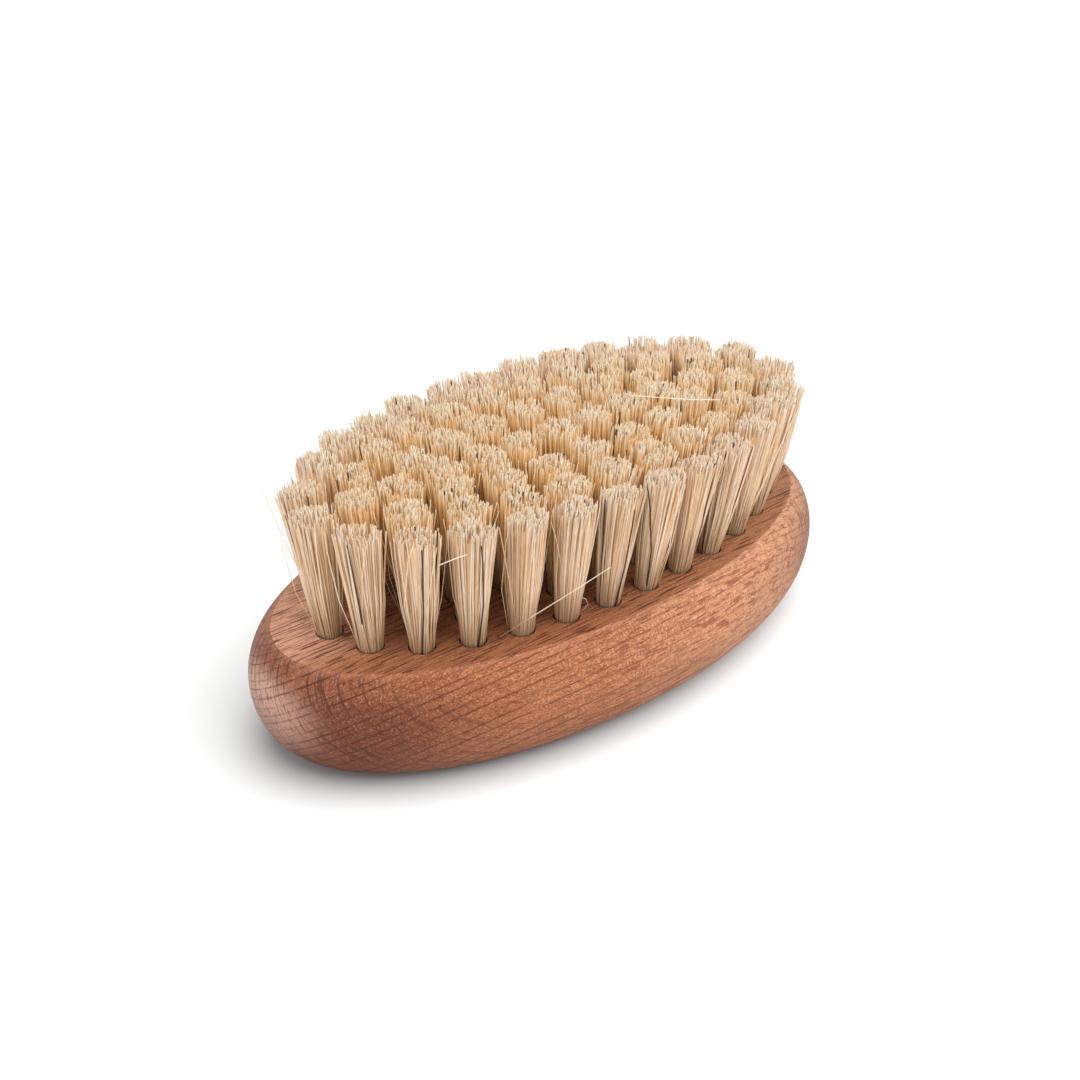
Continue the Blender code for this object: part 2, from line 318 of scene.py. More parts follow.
def beech_finish():
    """Oiled beech, as a solid texture that the block is cut from.

    The growth rings are wide cylinders along X about a line far behind and above
    the block. Its three directions are the grain, the way out across the rings
    and the way round along them. Rays are ribbons that stand along the first two.
    """
    wood = Finish("oiled_beech", IOR=1.45, Specular_IOR_Level=0.30)
    grain = wood.x
    across = wood.y - PITH_REACH * math.sin(PITH_TILT)
    up = wood.z - (BLOCK_HEIGHT / 2 + PITH_REACH * math.cos(PITH_TILT))
    sway = wood.noise(wood.point(grain * 14.0, wood.y * 25.0, wood.z * 25.0), 1.0) - 0.5
    shake = wood.noise(wood.point(grain * 900.0, wood.y * 1400.0, wood.z * 1400.0), 1.0)
    out = (across ** 2.0 + up ** 2.0) ** 0.5 + sway * 0.0024
    spin = across.maths("ARCTAN2", across, up) * PITH_REACH

    def figure(lengthwise, outward, around, detail=1.0, roughness=0.5):
        """Noise with so many lumps to a metre in each of the wood's directions."""
        place = wood.point(grain * lengthwise, out * outward, spin * around)
        return wood.noise(place, detail, roughness)

    # growth rings: a dark line at the end of each year's wood, weaker in some years
    years = (out + (shake - 0.5) * 0.00030) * (1.0 / YEAR_WIDTH)
    years = years + wood.noise(wood.point(0.0, out * 170.0, 0.0), 1.0) * 1.1
    part = years.maths("FRACT", years)
    line = part.step(0.70, 0.88) * part.step(0.90, 1.0, 1.0, 0.0)
    year = years.maths("FLOOR", years) * 3.7
    line = line * wood.noise(wood.point(year, year, 0.5), 0.0).step(0.40, 0.60, 0.60, 1.0)
    line = line * figure(170.0, 900.0, 500.0, 2.0).step(0.36, 0.52, 0.35, 1.0)

    # rays, from broad flakes to fine ribbons, then pores and grains
    dash = figure(170.0, 150.0, 4200.0, roughness=0.35).step(0.590, 0.625)
    flake = figure(320.0, 420.0, 3300.0, roughness=0.35).step(0.625, 0.655)
    ribbon = wood.noise(wood.point(grain * 150.0, out * 80.0, spin * 2400.0 + 9.0), 1.0, 0.4)
    ribbon = ribbon.step(0.60, 0.64)
    pores = figure(330.0, 5200.0, 5200.0).step(0.57, 0.68)
    speck = wood.noise(wood.point(grain * 2600.0, wood.y * 4000.0, wood.z * 4000.0), 2.0, 0.7)
    grains = speck.step(0.46, 0.58)
    ticks = figure(3600.0, 1000.0, 900.0).step(0.50, 0.62)
    ticks = ticks * wood.z.step(0.004, 0.018) * wood.x.step(-0.035, 0.010)
    stroke = figure(190.0, 1500.0, 1500.0, roughness=0.4).step(0.606, 0.642)
    stroke = stroke * wood.x.step(-0.030, -0.005)

    # where on the block: its face, rim, ends, the face's far -X corner, which gets painted
    # light, and its top edge, worn and with a painted highlight
    way_x, way_y, way_z = wood.parts(wood.node("ShaderNodeNewGeometry", output="Normal"))
    flat_sawn = way_y * math.sin(PITH_TILT) + way_z * math.cos(PITH_TILT)
    flat_sawn = flat_sawn.maths("ABSOLUTE", flat_sawn).step(0.50, 0.90)
    end_wood = way_x.maths("ABSOLUTE", way_x)
    # the block's ends, where a painted sheen lies
    tip = end_wood.step(0.74, 0.97)
    end_wood = end_wood.step(0.10, 0.66)
    high = wood.z.step(0.005, 0.018)
    rim = way_z.step(0.25, 0.70)
    face = way_z.step(0.93, 0.99)
    side = 1.0 - face
    corner = wood.x.step(-0.048, -0.036, 1.0, 0.0) * wood.y.step(-0.012, 0.002)
    wear_and_highlight = wood.z.step(BLOCK_HEIGHT - 0.0009, BLOCK_HEIGHT - 0.0002) * side

    dark_wood, light_wood = colour(0.370, 0.108, 0.043), colour(0.520, 0.176, 0.075)
    painted_light_wood, face_wood = colour(0.900, 0.470, 0.250), colour(0.425, 0.165, 0.073)
    corner_painted_light, wear_and_highlight_wood = colour(1.000, 0.540, 0.350), colour(0.720, 0.400, 0.290)
    grain_tan, speck_brown = colour(0.820, 0.390, 0.195), colour(0.300, 0.078, 0.028)
    end_brown, end_tan = colour(0.130, 0.026, 0.010), colour(0.600, 0.280, 0.170)
    end_sheen_pink, tick_cream = colour(0.900, 0.550, 0.430), colour(0.960, 0.580, 0.370)
    pore_brown, stroke_red = colour(0.190, 0.054, 0.024), colour(0.310, 0.078, 0.030)
    side_mark, end_mark = colour(0.210, 0.056, 0.022), colour(0.090, 0.022, 0.012)
    face_mark = colour(0.125, 0.032, 0.013)

    tone = wood.noise(wood.point(grain * 26.0, out * 130.0, spin * 70.0), 2.0)
    body = wood.blend(tone.step(0.30, 0.70), dark_wood, light_wood)
    # painted light: the +X part of the block lighter, as if lit more from that side
    body = wood.blend(wood.x.step(-0.020, 0.050, 0.0, 0.75), body, painted_light_wood)
    body = wood.blend(face * 0.75, body, face_wood)
    # painted light: the face's far -X corner lighter, out of the tufts' shadow
    body = wood.blend(face * corner * 0.92, body, corner_painted_light)
    body = wood.blend(grains * (0.50 - face * 0.26), body, grain_tan)
    body = wood.blend(speck.step(0.34, 0.46, 0.60, 0.0), body, speck_brown)
    body = wood.blend(ticks * 0.34 * side, body, tick_cream)
    body = wood.blend(end_wood * (0.82 - rim * 0.38), body, end_brown)
    body = wood.blend(end_wood * speck.step(0.54, 0.68) * 0.50, body, end_tan)
    # painted sheen: the block's ends paler and pinker, more so higher up
    body = wood.blend(tip * (0.24 + high * 0.46), body, end_sheen_pink)
    mark = wood.blend(end_wood, side_mark, end_mark)
    # ring lines and rays fade under the painted sheen at the ends
    body = wood.blend(line * wood.x.step(-0.035, 0.015, 0.94, 0.38) * (1.0 - face * 0.7)
                      * (1.0 - tip * 0.4), body, mark)
    body = wood.blend(ribbon * (0.06 + end_wood * 0.62) * side * (1.0 - tip * 0.5),
                      body, mark)
    body = wood.blend(pores * (0.50 - face * 0.20), body, pore_brown)
    body = wood.blend(flake * (0.18 + end_wood * 0.30) * side, body, mark)
    body = wood.blend(stroke * 0.72 * side, body, stroke_red)
    body = wood.blend(dash * flat_sawn * (0.70 + face * 0.15), body,
                      wood.blend(face, mark, face_mark))
    # the top edge of the sides: wear, with a painted highlight along the rounded rim
    body = wood.blend(wear_and_highlight * 0.12, body, wear_and_highlight_wood)

    rough = 0.46 + flake * 0.12 + grains * 0.14
    height = grains * 0.50 - pores * 0.6 - ribbon * end_wood * 0.40 - flake * 0.8
    height = height - line * 0.9 - dash * flat_sawn * 0.9 - stroke * 0.8
    return wood.feed(Base_Color=body, Roughness=rough, Normal=wood.bump(height, 0.00016, 0.8))


def bristle_finish():
    """Natural bristle: cream to tan strands, a few dark ones, pale at split tips.

    Its points carry a strand's tone from deep to pale, how dark it is, and the rise
    from 0 at the face to 1 at the tips.
    """
    hair = Finish("natural_bristle", IOR=1.5, Specular_IOR_Level=0.40)
    tone, dark, rise = (hair.node("ShaderNodeAttribute", {"attribute_name": name},
                                  output="Fac") for name in ("tone", "dark", "rise"))
    streak = hair.noise(hair.point(hair.x * 3600.0, hair.y * 3600.0, hair.z * 120.0), 1.0)
    shade = tone + (streak - 0.5) * 1.60

    deep_bounce_gold, light_bounce_gold = colour(0.870, 0.520, 0.205), colour(0.950, 0.660, 0.340)
    deep_cream, light_cream = colour(0.780, 0.505, 0.290), colour(0.930, 0.780, 0.650)
    deep_pale, light_pale = colour(0.970, 0.710, 0.420), colour(0.995, 0.890, 0.730)
    tan, root = colour(0.760, 0.430, 0.190), colour(0.445, 0.280, 0.148)
    brown, black = colour(0.105, 0.028, 0.016), colour(0.018, 0.009, 0.007)

    golden = hair.blend(shade, deep_bounce_gold, light_bounce_gold)
    cream = hair.blend(shade, deep_cream, light_cream)
    # tan for strands of low tone, and for painted shade on the cores' tops among the strand
    # tips
    cream = hair.blend(shade.step(-0.6, 0.2, 0.90, 0.0), cream, tan)
    # painted warm bounce light and shade: inner tufts more golden below their tips
    far_out = (hair.x / RING_HALF_LENGTH) ** 2.0 + (hair.y / RING_HALF_WIDTH) ** 2.0
    inner_bounce_light = far_out.step(0.72, 1.15, 1.0, 0.28)
    strand = hair.blend(inner_bounce_light * rise.step(0.90, 1.00, 1.0, 0.45), cream, golden)
    # darker towards the face: some dirt at the roots, and painted shade low between the tufts
    strand = hair.blend(rise.step(0.0, 0.50, 0.85, 0.0), strand, root)
    pale = hair.blend(shade.step(0.1, 1.0), deep_pale, light_pale)
    strand = hair.blend(rise.step(0.955, 1.02, 0.0, 0.88), strand, pale)
    strand = hair.blend(dark.step(0.05, 0.45), strand, brown)
    strand = hair.blend(dark.step(0.55, 0.95), strand, black)
    return hair.feed(Base_Color=strand, Roughness=0.32 + streak * 0.16,
                     Normal=hair.bump(streak, 0.00006, 0.6))


# ---------------------------------------------------------------- mesh helpers


def place_object(name, content):
    """Puts a mesh, lamp or camera in the scene."""
    placed = bpy.data.objects.new(name, content)
    bpy.context.scene.collection.objects.link(placed)
    return placed


def add_piece(name, vertices, faces, material, slot):
    """Makes a piece of the object from points and faces, riding on the block."""
    mesh = bpy.data.meshes.new(name)
    mesh.from_pydata(vertices, [], faces)
    mesh.materials.append(material)
    mesh.shade_smooth()
    piece = place_object(name, mesh)
    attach(piece, "root")
    return piece


def joined_rings(rings, sides, first=0):
    """Quads between rings of points that follow each other, closed the short way.

    Ring i and ring i + 1 are joined side by side, so the faces point outwards
    where each ring runs anticlockwise seen from the last one.
    """
    ring = np.arange(rings - 1)[:, None] * sides
    side = np.arange(sides)[None, :]
    after = (side + 1) % sides
    quads = np.stack([ring + side, ring + after, ring + sides + after,
                      ring + sides + side], axis=-1)
    return quads.reshape(-1, 4) + first


def end_caps(first, last, sides):
    """The two ends of a closed tube, whose end rings start at first and at last."""
    return [list(range(first, first + sides))[::-1], list(range(last, last + sides))]


def full_turn(sides):
    """Angles of equal steps once round."""
    return 2.0 * math.pi * np.arange(sides) / sides


# ---------------------------------------------------------------- tuft pattern


def ring_size(ring):
    """Half length and half width of an oval ring, counted from the outer one."""
    return RING_HALF_LENGTH - END_STEP * ring, RING_HALF_WIDTH - RING_STEP * ring


def ring_places(ring):
    """Tufts at an equal pitch round an oval ring, from its -X end.

    Rows of (x, y, lean along, lean across), the leans in degrees. The lean grows
    with x towards the ends, and with the sine of the place towards the sides.
    """
    half_length, half_width = ring_size(ring)
    turn = np.linspace(math.pi, 3.0 * math.pi, RING_SAMPLES)
    steps = np.hypot(np.diff(half_length * np.cos(turn)),
                     np.diff(half_width * np.sin(turn)))
    run = np.concatenate(([0.0], np.cumsum(steps)))
    count = round(run[-1] / TUFT_PITCH)
    at = np.interp(run[-1] * np.arange(count) / count, run, turn)
    x, y = half_length * np.cos(at), half_width * np.sin(at)
    share = math.sqrt(1.0 - (ring / RING_COUNT) ** 2)
    return np.column_stack([x + PATTERN_SHIFT, y, END_LEAN * x / RING_HALF_LENGTH,
                            SIDE_LEAN * share * np.sin(at)])


def row_places():
    """Tufts of the centre row, in the form of ring_places.

    The row ends where its holes would come too near the inmost ring: a point x
    along an oval's long axis is b sqrt(1 - x^2 / (a^2 - b^2)) from the oval.
    """
    long_half, short_half = ring_size(RING_COUNT - 1)
    room = (2.0 * HOLE_RADIUS + ROW_WALL) / short_half
    half_length = math.sqrt((long_half ** 2 - short_half ** 2) * (1.0 - room ** 2))
    gaps = int(2.0 * half_length / ROW_PITCH)
    x = half_length * np.linspace(-1.0, 1.0, gaps + 1)
    level = np.zeros_like(x)
    return np.column_stack([x + PATTERN_SHIFT, level, END_LEAN * x / RING_HALF_LENGTH,
                            level])


# ---------------------------------------------------------------- block


def side_profile():
    """The block's outline from the flat back to the flat face, as (inset, height).

    Two arcs of ellipses meet at the widest outline. Where the face cuts the upper
    one off, the corner is a short parabola between two points beside it.
    """
    lower = np.radians(np.linspace(0.0, 90.0, LOWER_POINTS))
    upper = RIM_TURN * np.linspace(0.0, 1.0, UPPER_POINTS)[1:]
    inset = np.concatenate([BACK_INSET * (1.0 - np.sin(lower)),
                            FACE_INSET * (1.0 - np.cos(upper)) / (1.0 - math.cos(RIM_TURN))])
    height = np.concatenate([WIDEST_HEIGHT * (1.0 - np.cos(lower)),
                             WIDEST_HEIGHT + (BLOCK_HEIGHT - WIDEST_HEIGHT)
                             * np.sin(upper) / math.sin(RIM_TURN)])
    run = np.concatenate(([0.0], np.cumsum(np.hypot(np.diff(inset), np.diff(height)))))
    below = run[-1] - RIM_ROUNDING
    start = np.array([np.interp(below, run, inset), np.interp(below, run, height)])
    corner = np.array([inset[-1], height[-1]])
    end = corner + (RIM_ROUNDING, 0.0)
    t = np.linspace(0.0, 1.0, RIM_POINTS)[:, None]
    rim = (1.0 - t) ** 2 * start + 2.0 * t * (1.0 - t) * corner + t ** 2 * end
    kept = run < below - RIM_ROUNDING / 3.0
    arc = np.column_stack([inset[kept], height[kept]])
    return np.vstack([arc, rim, rim[-1] + (FACE_LEDGE, 0.0)])


def block_mesh():
    """The block's skin: the profile carried round the oval, capped by two flats.

    A point is ((L - i) cos t, (W - i) sin t, z) for the inset i, the height z and
    the turn t, where L and W are half the length and half the width.
    """
    profile = side_profile()
    turn = full_turn(OUTLINE_SIDES)
    inset, height = profile[:, :1], profile[:, 1:]
    points = np.stack([(HALF_LENGTH - inset) * np.cos(turn),
                       (HALF_WIDTH - inset) * np.sin(turn),
                       height + 0.0 * turn], axis=-1).reshape(-1, 3)
    quads = joined_rings(len(profile), OUTLINE_SIDES)
    last = (len(profile) - 1) * OUTLINE_SIDES
    return points, quads.tolist() + end_caps(0, last, OUTLINE_SIDES)


def hole_cutter(places):
    """Round cutters for the blind holes, with a drill's blunt cone at the bottom.

    Each is a profile of (radius, height) carried round the hole's axis.
    """
    cone_width, cone_depth = DRILL_CONE
    profile = np.array([(HOLE_RADIUS - cone_width, -HOLE_DEPTH),
                        (HOLE_RADIUS, -HOLE_DEPTH + cone_depth), (HOLE_RADIUS, CUTTER_RISE)])
    turn = full_turn(HOLE_SIDES)
    radius, height = profile[:, :1], profile[:, 1:]
    one = np.stack([radius * np.cos(turn), radius * np.sin(turn),
                    BLOCK_HEIGHT + height + 0.0 * turn], axis=-1).reshape(-1, 3)
    middles = np.column_stack([places[:, :2], np.zeros(len(places))])
    points = (middles[:, None, :] + one[None]).reshape(-1, 3)
    faces = []
    for first in range(0, len(points), len(one)):
        faces += joined_rings(len(profile), HOLE_SIDES, first).tolist()
        faces += end_caps(first, first + len(one) - HOLE_SIDES, HOLE_SIDES)
    mesh = bpy.data.meshes.new("hole_cutter")
    mesh.from_pydata(points, [], faces)
    return place_object("hole_cutter", mesh)


def add_block(places, material):
    """The beech block with its blind holes."""
    block = add_piece("beech_block", *block_mesh(), material, "beech")
    cutter = hole_cutter(places)
    cut = block.modifiers.new("holes", "BOOLEAN")
    cut.operation = "DIFFERENCE"
    cut.solver = "EXACT"
    cut.object = cutter
    bpy.context.view_layer.update()
    evaluated = block.evaluated_get(bpy.context.evaluated_depsgraph_get())
    drilled = bpy.data.meshes.new_from_object(evaluated)
    block.modifiers.clear()
    block.data = drilled
    bpy.data.objects.remove(cutter, do_unlink=True)
    drilled.shade_smooth()
    drilled.set_sharp_from_angle(angle=SHARP_ANGLE)
    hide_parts("block")


# ---------------------------------------------------------------- bristles


def tube_points(paths, radii):
    """Thin tubes round many paths at once.

    paths is (tube, step, 3). Each step has a triangle in the plane across the
    path: centre + radius (cos t a + sin t b), with a and b across its direction.
    """
    along = np.gradient(paths, axis=1)
    along /= np.linalg.norm(along, axis=-1, keepdims=True) + 1e-12
    a = np.cross(along, np.array([0.31, 0.95, 0.02]))
    a /= np.linalg.norm(a, axis=-1, keepdims=True)
    b = np.cross(along, a)
    turn = full_turn(STRAND_SIDES)
    ring = (np.cos(turn)[:, None] * a[:, :, None] + np.sin(turn)[:, None] * b[:, :, None])
    return paths[:, :, None] + radii[:, :, None, None] * ring


def tube_faces(tubes, steps):
    """Quads along many tubes, and a triangle at each end."""
    one = joined_rings(steps, STRAND_SIDES)
    start = (np.arange(tubes) * steps * STRAND_SIDES)[:, None, None]
    quads = (one[None] + start).reshape(-1, 4)
    low = np.arange(STRAND_SIDES)[::-1][None] + start[:, 0]
    high = np.arange(STRAND_SIDES)[None] + (steps - 1) * STRAND_SIDES + start[:, 0]
    return quads, np.vstack([low, high])


def tuft_paths(places, fan_radius, random):
    """The strands of some tufts, as (strand, step, 3) paths, and how wild each one is.

    A strand starts at r = R sqrt(k / n) at the golden angle times k. From its hole
    it goes to a place that is further out by the fan's share, leans with its tuft,
    bends by a bow that is zero at both ends and is drawn a little to its lock.
    """
    tufts = len(places)
    wide = fan_radius[:, None, None]
    k = np.arange(STRANDS)
    spiral = k * math.pi * (3.0 - math.sqrt(5.0))
    spiral = spiral[None] + random.uniform(0.0, 2.0 * math.pi, (tufts, 1))
    share = np.sqrt((k + 0.5) / STRANDS)[None]
    share = np.clip(share + random.normal(0.0, PLACE_SPREAD, (tufts, STRANDS)), 0.0, 1.0)
    way = np.stack([np.cos(spiral), np.sin(spiral)], axis=-1)
    root = BUNDLE_RADIUS * share[..., None] * way

    # fan, flattened a little one way or another from tuft to tuft
    fan = wide * (share ** FAN_POWER)[..., None] * way
    stretch = random.normal(1.0, OUTLINE_SPREAD, (tufts, 1, 2))
    fan = fan * stretch + random.normal(0.0, TIP_SPREAD, (tufts, STRANDS, 2))

    # locks: each strand belongs to the nearest of a few middles
    middles = random.normal(0.0, LOCK_SPREAD, (tufts, LOCKS, 2)) * BUNDLE_RADIUS
    gap = np.linalg.norm(root[:, :, None] - middles[:, None], axis=-1)
    lock = gap.argmin(axis=2)
    row = np.arange(tufts)[:, None]
    drift = random.normal(0.0, LOCK_DRIFT, (tufts, LOCKS, 2))[row, lock]
    pull = (middles * wide / BUNDLE_RADIUS)[row, lock] - fan
    fan = fan + drift + LOCK_PULL * pull

    reach = LONGEST - np.abs(random.normal(0.0, LENGTH_SPREAD, (tufts, STRANDS)))
    reach = reach - EDGE_DROP * share ** 3.0
    reach = reach + random.normal(0.0, LOCK_LENGTH_SPREAD, (tufts, LOCKS))[row, lock]
    reach = reach + random.normal(0.0, TUFT_LENGTH_SPREAD, (tufts, 1))
    lean = np.tan(np.radians(places[:, 2:4]))[:, None] * reach[..., None]

    wild = random.uniform(size=(tufts, STRANDS, 1)) < WILD_SHARE
    bow = random.normal(0.0, BOW_SPREAD, (tufts, STRANDS, 2)) + BOW_OUT * (fan - root)
    bow = np.where(wild, bow * WILD_BOW, bow)
    stray = np.where(wild, random.normal(0.0, WILD_SPREAD, fan.shape), 0.0)
    tip = fan + lean + stray

    steps = np.array(STRAND_SHARES)[None, None, :, None]
    flat = (root[:, :, None] + (tip - root)[:, :, None] * steps
            + bow[:, :, None] * np.sin(math.pi * np.clip(steps, 0.0, 1.0)))
    height = BLOCK_HEIGHT + steps[..., 0] * reach[..., None]
    paths = np.concatenate([flat + places[:, None, None, :2], height[..., None]], axis=-1)
    return paths.reshape(-1, len(STRAND_SHARES), 3), wild.reshape(-1)


def split_ends(paths, size, random):
    """Two thin cones on each strand's tip, a little apart: a ring and a point each."""
    tips, below = paths[:, -1], paths[:, -2]
    way = (tips - below) / np.linalg.norm(tips - below, axis=-1, keepdims=True)
    tips = np.repeat(tips - way * FLAG_START, 2, axis=0)
    way = np.repeat(way, 2, axis=0)
    spread, flattening = SPLIT_SPREAD
    split = random.normal(0.0, spread, (len(tips), 3)) * flattening
    length = FLAG_LENGTH * random.uniform(*FLAG_LENGTHS, (len(tips), 1))
    ends = tips + (way + split) * length
    rings = tube_points(np.stack([tips, ends], axis=1),
                        np.repeat(size, 2, axis=0) * np.array([[FLAG_SIZE, 0.0]]))
    return np.concatenate([rings[:, 0], ends[:, None]], axis=1)


def cone_faces(cones, first):
    """Three sides and a base for each cone of split_ends."""
    one = np.array([(0, 1, 3), (1, 2, 3), (2, 0, 3), (2, 1, 0)])
    start = (STRAND_SIDES + 1) * np.arange(cones)[:, None, None] + first
    return (one[None] + start).reshape(-1, 3)


def core_points(places, fan_radius, random):
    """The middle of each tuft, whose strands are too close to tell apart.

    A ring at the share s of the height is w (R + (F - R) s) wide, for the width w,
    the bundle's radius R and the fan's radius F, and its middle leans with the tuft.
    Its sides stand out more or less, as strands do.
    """
    share, width = np.array(CORE_SHARES), np.array(CORE_WIDTHS)
    turn = full_turn(CORE_SIDES)
    around = np.stack([np.cos(turn), np.sin(turn)], axis=-1)
    radius = width * (BUNDLE_RADIUS + (fan_radius[:, None] - BUNDLE_RADIUS) * share)
    lean = np.tan(np.radians(places[:, 2:4])) * BRISTLE_HEIGHT
    middle = places[:, None, :2] + lean[:, None] * share[:, None]
    fluted = random.normal(1.0, FLUTE_SPREAD, (len(places), 1, CORE_SIDES, 1))
    flat = middle[:, :, None] + radius[:, :, None, None] * around * fluted
    height = np.broadcast_to(BLOCK_HEIGHT + BRISTLE_HEIGHT * share[:, None, None],
                             flat.shape[:3] + (1,))
    return np.concatenate([flat, height], axis=-1)


def bristle_faces(strands, steps, tufts):
    """Faces of the strands, then of their split ends, then of the tufts' cores."""
    quads, caps = tube_faces(strands, steps)
    cones = cone_faces(2 * strands, strands * steps * STRAND_SIDES)
    faces = quads.tolist() + caps.tolist() + cones.tolist()
    before = strands * (steps * STRAND_SIDES + SPLIT_POINTS)
    for first in range(before, before + tufts * CORE_POINTS, CORE_POINTS):
        faces += joined_rings(len(CORE_SHARES), CORE_SIDES, first).tolist()
        faces += end_caps(first, first + CORE_POINTS - CORE_SIDES, CORE_SIDES)
    return faces


def tube_cell(rings, sides, right=1.0):
    """Where a closed tube's corners lie in its cell of the map: sides, then two ends."""
    i, s = np.meshgrid(np.arange(rings - 1), np.arange(sides), indexing="ij")
    corners = np.stack([np.stack([s, i], -1), np.stack([s + 1, i], -1),
                        np.stack([s + 1, i + 1], -1), np.stack([s, i + 1], -1)], axis=2)
    sheet = corners.reshape(-1, 2) * (right / sides, SHEET_HEIGHT / (rings - 1))
    turn = full_turn(sides)
    disc = np.stack([np.cos(turn), np.sin(turn)], axis=-1) * DISC_RADIUS
    low, high = (disc + place for place in DISC_PLACES)
    return sheet, low, high


def in_cells(template, first, count, columns):
    """Repeats a template of map corners in the cells of a square grid."""
    cell = np.arange(first, first + count)
    corner = np.stack([cell % columns, cell // columns], axis=-1)[:, None] + CELL_MARGIN
    return ((corner + (1.0 - 2.0 * CELL_MARGIN) * template) / columns).reshape(-1, 2)


def bristle_map(strands, steps, cores):
    """Map corners of a piece of bristles, one cell for each strand and each core."""
    columns = math.ceil(math.sqrt(strands + cores))
    sheet, low, high = tube_cell(steps, STRAND_SIDES, STRAND_RIGHT)
    cone = np.array([(0, 0), (1, 0), (0.5, 1), (1, 0), (2, 0), (1.5, 1), (2, 0), (3, 0),
                     (2.5, 1), (0.5, 1), (1.5, 1), (1, 0)]) * SPLIT_CELL + (SPLIT_LEFT, 0.0)
    cones = np.vstack([cone, cone + (0.0, 0.5)])
    core_sheet, core_low, core_high = tube_cell(len(CORE_SHARES), CORE_SIDES)
    core = np.vstack([core_sheet, core_low[::-1], core_high])
    return np.vstack([in_cells(part, 0, strands, columns) for part in (sheet, low, high, cones)]
                     + [in_cells(core, strands, cores, columns)])


def tuft_facing(places, fan_radius, points, strands, steps):
    """How much the way out of its tuft turns each point's light.

    The way out is across from the tuft's leaning middle and a little upwards, and at
    the tips upwards alone. Loose hairs go with the last tuft.
    """
    tuft = np.minimum(np.arange(strands) // STRANDS, len(places) - 1)
    owner = np.concatenate([np.repeat(tuft, steps * STRAND_SIDES),
                            np.repeat(tuft, SPLIT_POINTS),
                            np.repeat(np.arange(len(places)), CORE_POINTS)])
    share = (points[:, 2:] - BLOCK_HEIGHT) / BRISTLE_HEIGHT
    lean = np.tan(np.radians(places[owner, 2:4])) * BRISTLE_HEIGHT
    across = points[:, :2] - places[owner, :2] - lean * share
    radius = BUNDLE_RADIUS + (fan_radius[owner, None] - BUNDLE_RADIUS) * share.clip(0.0, 1.0)
    low = ((SHADE_END - share) / SHADE_FADE).clip(0.0, 1.0)
    upwards = UP_AT_TIPS + (UP_ON_SIDES - UP_AT_TIPS) * low
    return np.hstack([across / radius * low, upwards]) * TUFT_SHADE


def light_as_tufts(piece, facing):
    """Turns the normals, so that strands are lit partly as their tuft's side is."""
    normals = np.empty(facing.shape, np.float32)
    piece.data.vertex_normals.foreach_get("vector", normals.reshape(-1))
    normals += facing
    normals /= np.linalg.norm(normals, axis=-1, keepdims=True)
    piece.data.normals_split_custom_set_from_vertices(normals)


def front_strands(places, paths):
    """The strand furthest to the front in each of the front tufts with a long dark one."""
    found = []
    for along in DARK_PLACES:
        tuft = np.argmin(np.abs(places[:, 0] - along) + (places[:, 1] > 0.0))
        strands = np.arange(tuft * STRANDS, (tuft + 1) * STRANDS)
        found.append(strands[np.argmax(paths[strands, 1, :2] @ np.array(FRONT))])
    return found


def add_bristles(name, places, fan, seed, material, nodes, hairs=()):
    """The bristles of several tufts as one piece: strands, their split ends and cores.

    The piece with the loose hairs has the long dark strands too.
    """
    random = np.random.default_rng(seed)
    tufts = len(places)
    fan_radius = fan * np.ones(tufts)
    paths, wild = tuft_paths(places, fan_radius, random)
    if hairs:
        paths = np.concatenate([paths, hairs])
        wild = np.concatenate([wild, np.ones(len(hairs), bool)])
    count, steps = paths.shape[:2]
    loose = slice(count - len(hairs), count)
    kind = random.uniform(size=count)
    dark = np.where(kind < BLACK_SHARE, 1.0, np.where(kind < DARK_SHARE, 0.5, 0.0))
    size = STRAND_RADIUS * random.uniform(*STRAND_SIZES, (count, 1))
    size = np.where(wild[:, None], WILD_SIZE * size, size)
    size[loose] = WILD_SIZE * STRAND_RADIUS
    dark[loose] = 0.0
    if hairs:
        long_dark = front_strands(places, paths)
        dark[long_dark] = LONG_DARK
        size[long_dark] = STRAND_RADIUS

    body = tube_points(paths, size * np.array(STRAND_TAPER))
    flags = split_ends(paths, size, random)
    cores = core_points(places, fan_radius, random)
    points = np.vstack([body.reshape(-1, 3), flags.reshape(-1, 3), cores.reshape(-1, 3)])
    piece = add_piece(name, points, bristle_faces(count, steps, tufts), material, "bristle")
    light_as_tufts(piece, tuft_facing(places, fan_radius, points, count, steps))

    # what the material reads at each point of the strands, their split ends and cores
    tone = np.clip(random.normal(TONE, TONE_SPREAD, count), 0.0, PALEST)
    tone[loose] = PALEST
    rise = np.clip((paths[..., 2] - BLOCK_HEIGHT) / BRISTLE_HEIGHT, 0.0, 1.0)
    foot, point = FLAG_RISE
    core_tone = random.normal(CORE_TONE, CORE_TONE_SPREAD, (tufts, 1, CORE_SIDES))
    # the cores' tops take a deeper colour, which is painted shade among the strand tips
    core_tone = np.clip(core_tone, *CORE_TONES) - np.array(CORE_PAINTED_SHADE).reshape(1, -1, 1)
    core_rise = np.repeat(np.clip(CORE_SHARES, 0.0, 1.0), CORE_SIDES)
    strand_points = steps * STRAND_SIDES
    carried = {
        "tone": (np.repeat(tone, strand_points), np.repeat(tone, SPLIT_POINTS),
                 core_tone.reshape(-1)),
        "dark": (np.repeat(dark, strand_points), np.repeat(dark, SPLIT_POINTS),
                 np.zeros(core_tone.size)),
        "rise": (np.repeat(rise.reshape(-1), STRAND_SIDES),
                 np.tile([foot] * STRAND_SIDES + [point], 2 * count),
                 np.tile(core_rise, tufts)),
    }
    for attribute, values in carried.items():
        layer = piece.data.attributes.new(attribute, "FLOAT", "POINT")
        layer.data.foreach_set("value", np.concatenate(values).astype(np.float32))
    spread = piece.data.uv_layers.new(name="OFBake")
    corners = bristle_map(count, steps, tufts).astype(np.float32)
    spread.uv.foreach_set("vector", corners.reshape(-1))
    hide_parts(*nodes)


# ---------------------------------------------------------------- studio


